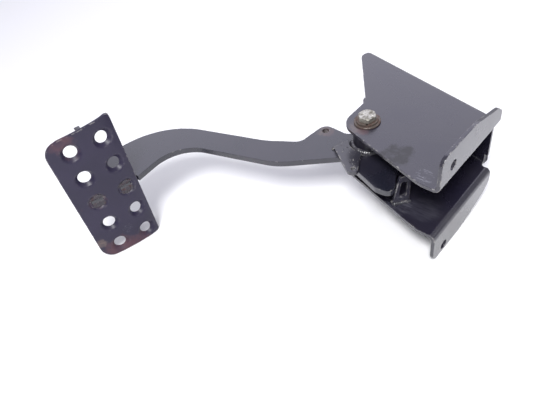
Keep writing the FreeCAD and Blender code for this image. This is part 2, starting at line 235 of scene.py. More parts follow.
def join(pieces: list[Object]) -> Object:
    """Join objects into the first of them.

    Args:
        pieces: The objects.

    Returns:
        The first of them.
    """
    select_only(pieces[0])
    for piece in pieces[1:]:
        piece.select_set(True)
    bpy.ops.object.join()
    return pieces[0]


def fill_open_ends(piece: Object) -> None:
    """Close every open edge loop, and turn all faces outwards.

    Args:
        piece: The object.
    """
    select_only(piece)
    bpy.ops.object.mode_set(mode="EDIT")
    bpy.ops.mesh.select_all(action="SELECT")
    bpy.ops.mesh.remove_doubles(threshold=0.005 * MM)
    bpy.ops.mesh.select_all(action="DESELECT")
    bpy.ops.mesh.select_non_manifold()
    bpy.ops.mesh.fill_holes(sides=0)
    bpy.ops.mesh.select_all(action="SELECT")
    bpy.ops.mesh.normals_make_consistent(inside=False)
    bpy.ops.object.mode_set(mode="OBJECT")


def dress(piece: Object, material: Material) -> None:
    """Give an object one material all over.

    Args:
        piece: The object.
        material: The material.
    """
    piece.data.materials.clear()
    piece.data.materials.append(material)
    for face in piece.data.polygons:
        face.material_index = 0


def hand_over(
    piece: Object, name: str, material: Material, body: Body, slot: str, *nodes: str
) -> None:
    """Name and dress a finished piece, put it on its body and hide the CAD nodes that it replaces.

    Args:
        piece: The finished object.
        name: Its name.
        material: Its material.
        body: The body that it rides on.
        slot: The record's material slot; not used.
        *nodes: The CAD nodes that it replaces.
    """
    piece.name = name
    piece.data.name = name
    dress(piece, material)
    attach(piece, body.value)
    if nodes:
        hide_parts(*nodes)
    LOG.info("%s: %d faces on %s", name, len(piece.data.polygons), body.value)


def towards(angle: float) -> Vector:
    """Level direction at an angle from +X towards +Y."""
    return Vector((math.cos(angle), math.sin(angle), 0.0))


def on_axis(height: float) -> Vector:
    """Point of the pivot axis at a height of the row frame."""
    return Vector((PIVOT.x, PIVOT.y, height))


# ---- finishes ----
@dataclass(frozen=True)
class Mark:
    """A local mark round one point: rust, a scuff, a dull patch darkened with painted shade, or a haze."""

    kind: MarkKind
    centre: tuple[float, float, float]
    reach: float
    grain: float = 2.0      # size of its speckle, in mm
    amount: float = 0.5     # how much of the patch it covers, below zero for a few thin traces
    strength: float = 1.0
    soft: float = 0.2       # how gradually it fades at its edge
    turn: float = 0.0       # direction of a scuff's streaks, in degrees about the pivot axis


MARK_COLOURS = {
    MarkKind.RUST: linear("#563c44"),
    MarkKind.SCUFF: linear("#8f909c"),
    # Painted shade: the dull patch's darker colour stands in for a weaker reflection.
    MarkKind.DULL: linear("#19181d"),
    MarkKind.HAZE: linear("#75665f"),
}
ROUGHENED = {MarkKind.RUST: 0.4, MarkKind.SCUFF: 0.0, MarkKind.DULL: 0.5, MarkKind.HAZE: 0.3}
STREAK = 0.12               # a scuff's width over its length
BARE_STEEL = linear("#8d8a88")


@dataclass(frozen=True)
class Paint:
    """Black alkyd enamel over hot-rolled steel: sprayed and baked, so it is glossy and uneven.

    It gives a near-black with a cold violet tint, a broad soft gloss with a faint orange peel,
    clouds where it has dulled, and chips along the edges where the steel shows.
    """

    name: str
    colour: str = "#1e1c2b"
    dull: str = "#272530"
    roughness: float = 0.27
    ior: float = 1.55
    coat: float = 0.5
    chips: float = 0.35
    marks: tuple[Mark, ...] = ()

    def _spot(
        self, tree: NodeTree, place: NodeSocket, mark: Mark
    ) -> NodeSocket:
        """Mask of one mark: a soft ball about its centre, broken up by its grain.

        Args:
            tree: The material's node tree.
            place: The object coordinates.
            mark: The mark.

        Returns:
            The mask, from zero to one.
        """
        away = add_node(
            tree, "ShaderNodeVectorMath", "Value", {0: place, 1: mark.centre}, operation="DISTANCE"
        )
        ball = add_node(
            tree, "ShaderNodeMapRange", "Result",
            {"Value": away, "From Min": mark.reach, "From Max": mark.reach * 0.3},
            interpolation_type="SMOOTHSTEP",
        )
        across = place
        if mark.kind is MarkKind.SCUFF:
            turn = (0.0, 0.0, -math.radians(mark.turn))
            across = add_node(
                tree, "ShaderNodeMapping", "Vector",
                {"Vector": place, "Rotation": turn, "Scale": (STREAK, 1.0, 1.0)},
            )
        speckle = add_node(
            tree, "ShaderNodeTexNoise", "Fac",
            {"Vector": across, "Scale": per_mm(mark.grain), "Detail": 5.0, "Roughness": 0.65},
        )
        weighed = add_node(
            tree, "ShaderNodeMath", "Value", {0: ball, 1: 0.5, 2: speckle}, operation="MULTIPLY_ADD"
        )
        threshold = 1.15 - 0.5 * mark.amount
        limits = {"From Min": threshold - mark.soft, "From Max": threshold + mark.soft}
        return add_node(
            tree, "ShaderNodeMapRange", "Result", {"Value": weighed, "To Max": mark.strength, **limits}
        )

    def _chips(self, tree: NodeTree, place: NodeSocket) -> NodeSocket:
        """Mask of the chips: flakes, but only where the surface turns at an edge.

        Args:
            tree: The material's node tree.
            place: The object coordinates.

        Returns:
            The mask, from zero to one.
        """
        rounded = add_node(tree, "ShaderNodeBevel", "Normal", {"Radius": 1.5 * MM}, samples=4)
        flat = add_node(tree, "ShaderNodeNewGeometry", "Normal")
        turned = add_node(
            tree, "ShaderNodeVectorMath", "Value", {0: rounded, 1: flat}, operation="DOT_PRODUCT"
        )
        edge = add_node(
            tree, "ShaderNodeMapRange", "Result", {"Value": turned, "From Min": 0.998, "From Max": 0.95}
        )
        flakes = add_node(
            tree, "ShaderNodeTexNoise", "Fac",
            {"Vector": place, "Scale": per_mm(5), "Detail": 6.0, "Roughness": 0.7},
        )
        worn = add_node(
            tree, "ShaderNodeMapRange", "Result",
            {"Value": flakes, "From Min": 0.62 - 0.2 * self.chips, "From Max": 0.68 - 0.2 * self.chips},
        )
        return add_node(tree, "ShaderNodeMath", "Value", {0: edge, 1: worn}, operation="MULTIPLY")

    def material(self) -> Material:
        """Build the paint as a node material.

        Returns:
            The material.
        """
        made, tree, place = start_material(self.name)
        clouds = add_node(
            tree, "ShaderNodeTexNoise", "Fac",
            {"Vector": place, "Scale": per_mm(38), "Detail": 4.0, "Roughness": 0.55},
        )
        film = add_node(
            tree, "ShaderNodeMapRange", "Result", {"Value": clouds, "From Min": 0.35, "From Max": 0.7}
        )
        colour = add_node(
            tree, "ShaderNodeMix", MIX_RESULT,
            {MIX_FACTOR: film, MIX_A: linear(self.colour), MIX_B: linear(self.dull)}, data_type="RGBA",
        )
        rough = add_node(
            tree, "ShaderNodeMapRange", "Result",
            {
                "Value": clouds, "From Min": 0.3, "From Max": 0.75,
                "To Min": self.roughness - 0.03, "To Max": self.roughness + 0.06,
            },
        )
        layers = [(self._chips(tree, place), BARE_STEEL, 0.0)]
        for mark in self.marks:
            layers.append((self._spot(tree, place, mark), MARK_COLOURS[mark.kind], ROUGHENED[mark.kind]))
        for mask, tint, rougher in layers:
            colour = add_node(
                tree, "ShaderNodeMix", MIX_RESULT,
                {MIX_FACTOR: mask, MIX_A: colour, MIX_B: tint}, data_type="RGBA",
            )
            if rougher:
                rough = add_node(
                    tree, "ShaderNodeMath", "Value", {0: mask, 1: rougher, 2: rough},
                    operation="MULTIPLY_ADD",
                )
        specks = add_node(
            tree, "ShaderNodeTexNoise", "Fac", {"Vector": place, "Scale": per_mm(0.9), "Detail": 2.0}
        )
        peel = add_node(
            tree, "ShaderNodeBump", "Normal", {"Height": specks, "Strength": 0.05, "Distance": 0.05 * MM}
        )
        surface = {"Base Color": colour, "Roughness": rough, "Normal": peel, "IOR": self.ior}
        coating = {"Coat Weight": self.coat, "Coat Roughness": self.roughness * 0.7}
        set_inputs(tree, tree.nodes["Principled BSDF"], surface | coating)
        return made


@dataclass(frozen=True)
class RustySteel:
    """Plain carbon steel with surface rust: dull brown, rough and pitted, grey where rubbed."""

    name: str
    steel: str = "#8f8782"
    rust: str = "#6d4031"
    cover: float = 0.5
    metallic: float = 0.75

    def material(self) -> Material:
        """Build the rusty steel as a node material.

        Returns:
            The material.
        """
        made, tree, place = start_material(self.name)
        patches = add_node(
            tree, "ShaderNodeTexNoise", "Fac",
            {"Vector": place, "Scale": per_mm(4), "Detail": 6.0, "Roughness": 0.65},
        )
        cover = add_node(
            tree, "ShaderNodeMapRange", "Result",
            {"Value": patches, "From Min": 0.68 - 0.3 * self.cover, "From Max": 0.78 - 0.3 * self.cover},
        )
        colour = add_node(
            tree, "ShaderNodeMix", MIX_RESULT,
            {MIX_FACTOR: cover, MIX_A: linear(self.steel), MIX_B: linear(self.rust)}, data_type="RGBA",
        )
        metal = add_node(
            tree, "ShaderNodeMapRange", "Result", {"Value": cover, "To Min": self.metallic, "To Max": 0.0}
        )
        rough = add_node(
            tree, "ShaderNodeMapRange", "Result", {"Value": cover, "To Min": 0.42, "To Max": 0.85}
        )
        pits = add_node(
            tree, "ShaderNodeTexNoise", "Fac", {"Vector": place, "Scale": per_mm(0.7), "Detail": 4.0}
        )
        pitted = add_node(
            tree, "ShaderNodeBump", "Normal", {"Height": pits, "Strength": 0.5, "Distance": 0.12 * MM}
        )
        surface = {"Base Color": colour, "Metallic": metal, "Roughness": rough, "Normal": pitted}
        set_inputs(tree, tree.nodes["Principled BSDF"], surface)
        return made


@dataclass(frozen=True)
class Zinc:
    """Zinc-plated steel, dulled: electroplated, so bright grey with a warm, cloudy bloom."""

    name: str
    bright: str = "#b8b6ae"
    bloom: str = "#79756b"

    def material(self) -> Material:
        """Build the plating as a node material.

        Returns:
            The material.
        """
        made, tree, place = start_material(self.name)
        bloom = add_node(
            tree, "ShaderNodeTexNoise", "Fac",
            {"Vector": place, "Scale": per_mm(3.5), "Detail": 5.0, "Roughness": 0.6},
        )
        amount = add_node(
            tree, "ShaderNodeMapRange", "Result", {"Value": bloom, "From Min": 0.42, "From Max": 0.66}
        )
        colour = add_node(
            tree, "ShaderNodeMix", MIX_RESULT,
            {MIX_FACTOR: amount, MIX_A: linear(self.bright), MIX_B: linear(self.bloom)}, data_type="RGBA",
        )
        rough = add_node(
            tree, "ShaderNodeMapRange", "Result", {"Value": amount, "To Min": 0.28, "To Max": 0.6}
        )
        dents = add_node(
            tree, "ShaderNodeBump", "Normal", {"Height": bloom, "Strength": 0.35, "Distance": 0.15 * MM}
        )
        surface = {"Base Color": colour, "Metallic": 0.85, "Roughness": rough, "Normal": dents}
        set_inputs(tree, tree.nodes["Principled BSDF"], surface)
        return made


@dataclass(frozen=True)
class Nylon:
    """Black nylon: injection moulded, so matt and slightly waxy, with a fine grain."""

    name: str
    colour: str = "#2b2a2c"

    def material(self) -> Material:
        """Build the nylon as a node material.

        Returns:
            The material.
        """
        made, tree, place = start_material(self.name)
        grain = add_node(
            tree, "ShaderNodeTexNoise", "Fac", {"Vector": place, "Scale": per_mm(0.5), "Detail": 3.0}
        )
        rough = add_node(
            tree, "ShaderNodeMapRange", "Result", {"Value": grain, "To Min": 0.45, "To Max": 0.65}
        )
        moulded = add_node(
            tree, "ShaderNodeBump", "Normal", {"Height": grain, "Strength": 0.25, "Distance": 0.04 * MM}
        )
        surface = {"Base Color": linear(self.colour), "IOR": 1.53, "Roughness": rough, "Normal": moulded}
        set_inputs(tree, tree.nodes["Principled BSDF"], surface)
        return made


# ---- sheet and plate pieces ----
@dataclass
class PlateWork:
    """Sheet and plate pieces, shown as copies of their nodes with the edges rounded."""

    body: Body
    slot: str
    nodes: tuple[str, ...]
    material: Material
    edge: float = 0.45 * MM

    def build(self) -> None:
        """Make every copy."""
        for node in self.nodes:
            self._soften(node)

    def _soften(self, node: str) -> None:
        """Copy one node, weld its triangles together and round its edges.

        Args:
            node: The CAD node's name.
        """
        piece = bpy.data.objects.new(node + "_finished", frame["nodes"][node].data.copy())
        bpy.context.scene.collection.objects.link(piece)
        select_only(piece)
        bpy.ops.mesh.customdata_custom_splitnormals_clear()
        bpy.ops.object.mode_set(mode="EDIT")
        bpy.ops.mesh.select_all(action="SELECT")
        bpy.ops.mesh.remove_doubles(threshold=0.003 * MM)
        bpy.ops.mesh.dissolve_limited(angle_limit=math.radians(0.6))
        bpy.ops.object.mode_set(mode="OBJECT")
        round_edges(piece, self.edge)
        hand_over(piece, node + "_finished", self.material, self.body, self.slot, node)


# ---- foot pad ----
@dataclass
class FootPad:
    """Curved pad, stamped with two columns of funnel-shaped grip holes.

    It is drawn flat as (s, h, depth): s along the curve from the left column of holes, h the height
    above the middle row, and depth behind the foot side. The curve then bends it.
    """

    pitch: float = 30 * MM
    rows: int = 5
    sheet: float = 3 * MM
    funnel: float = 4.4 * MM
    mouth: float = 8.6 * MM
    throat: float = 6.0 * MM
    left: float = -20.7 * MM
    right: float = 44.5 * MM        # the right edge at its top
    low_right: float = 42.5 * MM    # the right edge at its bottom
    bottom: float = -71.5 * MM
    top_left: float = 75.6 * MM
    top_right: float = 79.2 * MM
    left_corner: float = 14 * MM
    right_corner: float = 3 * MM
    curve: float = 180 * MM
    lip: float = 35 * MM
    left_column: Vector = field(default_factory=lambda: PIVOT + Vector((-0.1686, -0.1967, 0.0)))
    heading: float = math.radians(75.7)
    rays: int = 48

    def centre(self) -> Vector:
        """Point on the axis of the main curve, at the height of the middle row.

        Returns:
            The point in the row frame.
        """
        along = towards(self.heading)
        behind = Vector((-along.y, along.x, 0.0))
        depth = math.sqrt(self.curve**2 - (self.pitch / 2) ** 2)
        return self.left_column + along * (self.pitch / 2) + behind * depth

    def bend(self, s: float, h: float, depth: float) -> Vector:
        """Place of a flat point on the bent pad.

        Args:
            s: Distance along the curve.
            h: Height above the middle row.
            depth: Distance behind the foot side.

        Returns:
            The point in the row frame.
        """
        centre = self.centre()
        start = self.left_column - centre
        turn = math.atan2(start.y, start.x)
        main = min(s, self.pitch) / self.curve
        normal = towards(turn + main)
        if s <= self.pitch:
            return centre + normal * (self.curve - depth) + UP * h
        pole = centre + normal * (self.curve - self.lip)
        over = turn + main + (s - self.pitch) / self.lip
        normal = towards(over)
        return pole + normal * (self.lip - depth) + UP * h

    def _top(self, s: float) -> float:
        """Height of the slanted upper edge at a distance along the curve."""
        share = (s - self.left) / (self.right - self.left)
        return self.top_left + (self.top_right - self.top_left) * share

    def _right(self, h: float) -> float:
        """Place of the slanted right edge at a height."""
        share = (h - self.bottom) / (self.top_right - self.bottom)
        return self.low_right + (self.right - self.low_right) * share

    def _inside(self, s: float, h: float) -> bool:
        """Say whether a flat point is within the pad's outline, with its rounded corners.

        Args:
            s: Distance along the curve.
            h: Height above the middle row.

        Returns:
            True for a point within it.
        """
        right = self._right(h)
        if not (self.left <= s <= right and self.bottom <= h <= self._top(s)):
            return False
        for side, radius in ((self.left, self.left_corner), (right, self.right_corner)):
            inward = 1 if side == self.left else -1
            for edge, way in ((self.bottom, 1), (self._top(side), -1)):
                ds = (side + inward * radius - s) * inward
                dh = (edge + way * radius - h) * way
                if ds > 0 and dh > 0 and math.hypot(ds, dh) > radius:
                    return False
        return True

    def _reach(self, column: float, row: float, angle: float) -> float:
        """Distance from a hole to the border of its cell, or to the pad's edge, in one direction.

        Args:
            column: Distance of the hole along the curve.
            row: Height of the hole.
            angle: The direction, from the curve upwards.

        Returns:
            The distance.
        """
        half = self.pitch / 2
        cosine = math.cos(angle)
        sine = math.sin(angle)
        first = column == 0
        wide = (self.pitch if cosine < 0 else half) if first else (self.pitch if cosine > 0 else half)
        last_row = abs(row) > self.pitch * (self.rows // 2) - MM
        tall = self.pitch if last_row and row * sine > 0 else half
        far = min(
            wide / abs(cosine) if abs(cosine) > 1e-9 else 1.0,
            tall / abs(sine) if abs(sine) > 1e-9 else 1.0,
        )
        if self._inside(column + far * cosine, row + far * sine):
            return far
        near = 0.0
        for _ in range(30):
            middle = (near + far) / 2
            if self._inside(column + middle * cosine, row + middle * sine):
                near = middle
            else:
                far = middle
        return near

    def _angles(self, column: float, row: float) -> list[float]:
        """Directions of the rays round one hole, with the nearest one moved to each cell corner.

        Args:
            column: Distance of the hole along the curve.
            row: Height of the hole.

        Returns:
            The angles, from the curve upwards.
        """
        step = 2 * math.pi / self.rays
        angles = [i * step for i in range(self.rays)]
        half = self.pitch / 2
        first = column == 0
        last_row = abs(row) > self.pitch * (self.rows // 2) - MM
        corners = []
        for side in (-1, 1):
            open_side = (side < 0) == first
            for way in (-1, 1):
                outer = self.left if side < 0 else self._right(row + way * half)
                border = outer - column if open_side else side * half
                outer_row = last_row and row * way > 0
                if open_side and outer_row:
                    continue
                edge = way * half
                if outer_row:
                    edge = (self._top(column + border) if way > 0 else self.bottom) - row
                corners.append(math.atan2(edge, border) % (2 * math.pi))
        for corner in corners:
            nearest = round(corner / step) % self.rays
            angles[nearest] = corner
        return angles

    def _profile(self, deep: bool) -> list[tuple[float, float]]:
        """Section of one hole from the foot side to the back, as (radius, depth).

        Args:
            deep: False for the middle row, which has no funnel behind the sheet.

        Returns:
            The points, without the flat sheet outside them.
        """
        lip = self.funnel if deep else self.sheet
        wall = 1.9 * MM
        front = [
            (self.mouth + 2.6 * MM, 0.0),
            (self.mouth + 1.5 * MM, 0.08 * MM),
            (self.mouth + 0.7 * MM, 0.32 * MM),
            (self.mouth, 0.85 * MM),
            (self.mouth - 0.9 * MM, 1.9 * MM),
            (self.throat + 0.45 * MM, lip - 1.0 * MM),
            (self.throat + 0.05 * MM, lip - 0.35 * MM),
            (self.throat + 0.15 * MM, lip - 0.05 * MM),
        ]
        if not deep:
            return front + [(self.throat + 0.5 * MM, lip)]
        return front + [
            (self.throat + 0.5 * MM, lip),
            (self.throat + wall - 0.3 * MM, lip),
            (self.throat + wall, lip - 0.3 * MM),
            (self.mouth + 0.7 * MM, self.sheet + 0.6 * MM),
            (self.mouth + 1.6 * MM, self.sheet + 0.15 * MM),
            (self.mouth + 2.6 * MM, self.sheet),
        ]

    def _cell(self, column: float, row: float) -> Object:
        """One hole with the sheet round it, on both sides, drawn flat.

        Args:
            column: Distance of the hole along the curve.
            row: Height of the hole.

        Returns:
            An open shell, whose border meets its neighbours'.
        """
        profile = self._profile(abs(row) > MM)
        circle = bpy.ops.mesh.primitive_circle_add
        piece = new_piece("pad_cell", circle, vertices=self.rays, radius=1.0, fill_type="NOTHING")
        bpy.ops.object.mode_set(mode="EDIT")
        rings = len(profile) + 4
        for _ in range(rings - 1):
            bpy.ops.mesh.select_all(action="DESELECT")
            shell = bmesh.from_edit_mesh(piece.data)
            shell.verts.ensure_lookup_table()
            shell.edges.ensure_lookup_table()
            for edge in shell.edges:
                edge.select = all(v.index >= len(shell.verts) - self.rays for v in edge.verts)
            bmesh.update_edit_mesh(piece.data)
            bpy.ops.mesh.extrude_edges_move(TRANSFORM_OT_translate={"value": (0, 0, -MM)})
        bpy.ops.object.mode_set(mode="OBJECT")
        angles = self._angles(column, row)
        flat_ring = profile[0][0]
        for i, vertex in enumerate(piece.data.vertices):
            ring, ray = divmod(i, self.rays)
            angle = angles[ray]
            border = self._reach(column, row, angle)
            if ring < 2:
                share = 1 - ring * 0.5
                radius = flat_ring + (border - flat_ring) * share
                depth = 0.0
            elif ring >= rings - 2:
                share = 1 - (rings - 1 - ring) * 0.5
                radius = flat_ring + (border - flat_ring) * share
                depth = self.sheet
            else:
                radius, depth = profile[ring - 2]
            radius = min(radius, border)
            vertex.co = self.bend(column + radius * math.cos(angle), row + radius * math.sin(angle), depth)
        return piece

    def build(self, material: Material) -> None:
        """Make the pad: every cell, joined, with its outer edge closed and rounded.

        Args:
            material: The pad's paint.
        """
        half = self.rows // 2
        cells = [
            self._cell(column, row * self.pitch)
            for column in (0.0, self.pitch)
            for row in range(-half, half + 1)
        ]
        pad = join(cells)
        bpy.ops.object.mode_set(mode="EDIT")
        bpy.ops.mesh.select_all(action="SELECT")
        bpy.ops.mesh.remove_doubles(threshold=0.02 * MM)
        bpy.ops.mesh.select_all(action="DESELECT")
        bpy.ops.mesh.select_non_manifold(
            extend=False, use_wire=False, use_boundary=True, use_multi_face=False,
            use_non_contiguous=False, use_verts=False,
        )
        bpy.ops.mesh.bridge_edge_loops()
        bpy.ops.mesh.select_all(action="SELECT")
        bpy.ops.mesh.normals_make_consistent(inside=False)
        bpy.ops.object.mode_set(mode="OBJECT")
        round_edges(pad, 0.5 * MM, above=75)
        hand_over(pad, "stamped_foot_pad", material, Body.PEDAL, "worn_pad_paint", "foot_pad")


# ---- pivot hardware ----
@dataclass
class PivotHardware:
    """Hex bolt with its split washer and its lock nut, all on the pivot axis."""

    flats: float = 14.8 * MM
    shank: float = 5.0 * MM
    pitch: float = 1.5 * MM
    collar: float = 2.7 * MM
    turn: float = math.radians(-18)     # puts the hex corners where the frame has them
    marks: int = 6

    def _hexagon(self, low: float, high: float, point_up: bool) -> Object:
        """Hexagonal block whose corners are chamfered at one end.

        Args:
            low: Lower height.
            high: Upper height.
            point_up: True to chamfer the upper end.

        Returns:
            The block.
        """
        length = high - low
        inner = self.flats * 0.49
        outer = inner + length * math.tan(math.radians(60))
        middle = on_axis((low + high) / 2)
        block = new_piece(
            "hexagon", bpy.ops.mesh.primitive_cylinder_add, vertices=6,
            radius=self.flats / math.sqrt(3), depth=length, location=middle, rotation=(0, 0, self.turn),
        )
        cone = new_piece(
            "chamfer", bpy.ops.mesh.primitive_cone_add, vertices=96,
            radius1=outer if point_up else inner, radius2=inner if point_up else outer,
            depth=length + 0.02 * MM, location=middle,
        )
        cut(block, cone, "INTERSECT")
        return block

    def _cylinder(self, radius: float, low: float, high: float) -> Object:
        """Upright round bar on the pivot axis, from one height to another."""
        return new_piece(
            "bar", bpy.ops.mesh.primitive_cylinder_add, vertices=64, radius=radius, depth=high - low,
            location=on_axis((low + high) / 2),
        )

    def _thread(self, low: float, high: float) -> Object:
        """Helical ridge of the bolt's thread, closed at both ends.

        Args:
            low: Lower height.
            high: Upper height.

        Returns:
            The ridge, slightly sunk in the shank.
        """
        depth = 0.61 * self.pitch
        ridge = new_piece(
            "thread", bpy.ops.mesh.primitive_circle_add, vertices=4, radius=self.pitch / 2,
            rotation=(math.pi / 2, 0, 0),
        )
        settle(ridge)
        for vertex in ridge.data.vertices:
            inward = 0.0 if vertex.co.x > 0.1 * MM else depth
            vertex.co.x = self.shank - inward
            vertex.co.z *= 0.96
        corner = min(ridge.data.vertices, key=lambda v: abs(v.co.z) + v.co.x)
        corner.co.x -= 0.3 * MM
        apply_modifier(
            ridge, "SCREW", angle=2 * math.pi, steps=36, render_steps=36, screw_offset=self.pitch,
            iterations=int((high - low) / self.pitch), use_merge_vertices=False,
        )
        fill_open_ends(ridge)
        ridge.location = on_axis(low + self.pitch / 2)
        settle(ridge)
        return ridge

    def _head_mark(self, height: float, index: int) -> Object:
        """Make one raised radial tick on top of the head.

        Args:
            height: The top of the head.
            index: Which tick it is.

        Returns:
            The tick.
        """
        tick = new_piece(
            "tick", bpy.ops.mesh.primitive_cube_add, size=1.0, location=(3.9 * MM, 0, 0),
            scale=(3.0 * MM, 0.9 * MM, 0.5 * MM),
        )
        settle(tick)
        apply_modifier(tick, "BEVEL", width=0.2 * MM, segments=2)
        tick.rotation_euler.z = 2 * math.pi * index / self.marks + 0.3
        tick.location = on_axis(height)
        settle(tick)
        return tick

    def bolt(self, material: Material) -> None:
        """Make the bolt: head, shank and thread.

        Args:
            material: Its plating.
        """
        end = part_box("pivot_bolt")[0].z
        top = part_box("pivot_bolt")[1].z
        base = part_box("split_lock_washer")[1].z
        head = self._hexagon(base, top, True)
        round_edges(head, 0.25 * MM, steps=3, above=20)
        core = self._cylinder(self.shank - 0.55 * self.pitch, end, base + MM)
        round_edges(core, 0.5 * MM)
        plain = self._cylinder(self.shank, end + 26 * MM, base + MM)
        thread = self._thread(end + 0.3 * MM, end + 24 * MM)
        ticks = [self._head_mark(top, i) for i in range(self.marks)]
        bolt = join([head, core, plain, thread] + ticks)
        bpy.ops.object.shade_smooth_by_angle(angle=math.radians(35))
        hand_over(bolt, "hex_bolt", material, Body.BRACKET, "zinc_plate", "pivot_bolt")

    def nut(self, material: Material) -> None:
        """Make the lock nut: a hexagon with a rolled collar at its lower end.

        Args:
            material: Its plating.
        """
        low, high = (corner.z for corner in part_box("lock_nut"))
        block = self._hexagon(low + self.collar - 0.1 * MM, high, False)
        cut(block, self._cylinder(self.shank + 0.02 * MM, low - MM, high + MM), "DIFFERENCE")
        round_edges(block, 0.2 * MM, steps=2, above=20)
        collar = self._cylinder(self.flats * 0.46, low, low + self.collar)
        round_edges(collar, 0.9 * MM, steps=4)
        cut(collar, self._cylinder(self.shank + 0.02 * MM, low - MM, high + MM), "DIFFERENCE")
        nut = join([block, collar])
        bpy.ops.object.shade_smooth_by_angle(angle=math.radians(35))
        hand_over(nut, "collar_nut", material, Body.BRACKET, "zinc_plate", "lock_nut")

    def split_washer(self, material: Material) -> None:
        """Make the spring washer: a square-section ring, split, with its ends slightly offset.

        Args:
            material: Its rusty steel.
        """
        low, high = (corner.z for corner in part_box("split_lock_washer"))
        inner = self.shank + 0.3 * MM
        outer = (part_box("split_lock_washer")[1].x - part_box("split_lock_washer")[0].x) / 2
        rise = 0.35 * MM
        washer = new_piece(
            "washer", bpy.ops.mesh.primitive_plane_add, size=1.0,
            location=((inner + outer) / 2, 0, 0), rotation=(math.pi / 2, 0, 0),
        )
        washer.scale = (outer - inner, high - low - rise, 1)
        settle(washer)
        bpy.ops.object.mode_set(mode="EDIT")
        bpy.ops.mesh.select_all(action="SELECT")
        bpy.ops.mesh.delete(type="ONLY_FACE")
        bpy.ops.object.mode_set(mode="OBJECT")
        apply_modifier(
            washer, "SCREW", angle=math.radians(349), steps=72, render_steps=72, screw_offset=rise
        )
        fill_open_ends(washer)
        round_edges(washer, 0.2 * MM, above=50)
        washer.rotation_euler.z = math.radians(-58 + 5.5)
        washer.location = on_axis((low + high - rise) / 2)
        settle(washer)
        hand_over(washer, "spring_washer", material, Body.BRACKET, "rusty_steel", "split_lock_washer")


# ---- welds ----
@dataclass
class Welder:
    """Weld beads laid as overlapping drops, and the spatter beside them."""

    step: float = 1.7 * MM
    skin: float = 0.3 * MM
    dice: random.Random = field(default_factory=lambda: random.Random(7))

    def _copies(self, places: list[Matrix], detail: int) -> Object:
        """Copy one round drop of metal, of radius one metre, to many places and join the copies.

        Args:
            places: Where each copy goes.
            detail: Subdivisions of the drop.

        Returns:
            One object with every copy.
        """
        ball = bpy.ops.mesh.primitive_ico_sphere_add
        drop = new_piece("drop", ball, subdivisions=detail, radius=1.0)
        copies = []
        for place in places:
            mesh = drop.data.copy()
            mesh.transform(place)
            copy = bpy.data.objects.new("copy", mesh)
            bpy.context.scene.collection.objects.link(copy)
            copies.append(copy)
        bpy.data.objects.remove(drop)
        return join(copies)

    def bead(self, path: list[tuple[Vector, Vector]], out: list[Vector], leg: float) -> Object:
        """Lay one bead.

        Args:
            path: Points of the root of the joint, with the direction of travel at each.
            out: The direction that the bead's face points to, at each point.
            leg: Length of the bead's leg.

        Returns:
            The bead as one closed skin.
        """
        places = []
        for (point, travel), face in zip(path, out):
            ahead = travel.normalized()
            outward = face.normalized()
            side = outward.cross(ahead)
            frame_turn = Matrix((ahead, side, outward)).transposed().to_4x4()
            tilt = Matrix.Rotation(math.radians(-24 + self.dice.uniform(-5, 5)), 4, "Y")
            size = leg * self.dice.uniform(0.92, 1.06)
            scale = Matrix.Diagonal((self.step * 1.35, size * 0.86, size * 0.62, 1.0))
            wander = outward * (leg * 0.1) + side * self.dice.uniform(-0.12, 0.12) * MM
            places.append(Matrix.Translation(point + wander) @ frame_turn @ tilt @ scale)
        bead = self._copies(places, 3)
        apply_modifier(bead, "REMESH", mode="VOXEL", voxel_size=self.skin)
        apply_modifier(bead, "SMOOTH", factor=0.5, iterations=2)
        bpy.ops.object.shade_smooth()
        return bead

    def spatter(self, spots: list[Vector], low: float, high: float) -> Object:
        """Scatter small frozen balls of weld metal.

        Args:
            spots: Where the balls sit.
            low: Smallest radius.
            high: Largest radius.

        Returns:
            All the balls as one object.
        """
        places = []
        for spot in spots:
            size = low + (high - low) * self.dice.random() ** 2
            squash = Matrix.Diagonal((size, size * self.dice.uniform(0.8, 1.2), size * 0.7, 1.0))
            places.append(Matrix.Translation(spot) @ squash)
        balls = self._copies(places, 2)
        bpy.ops.object.shade_smooth()
        return balls


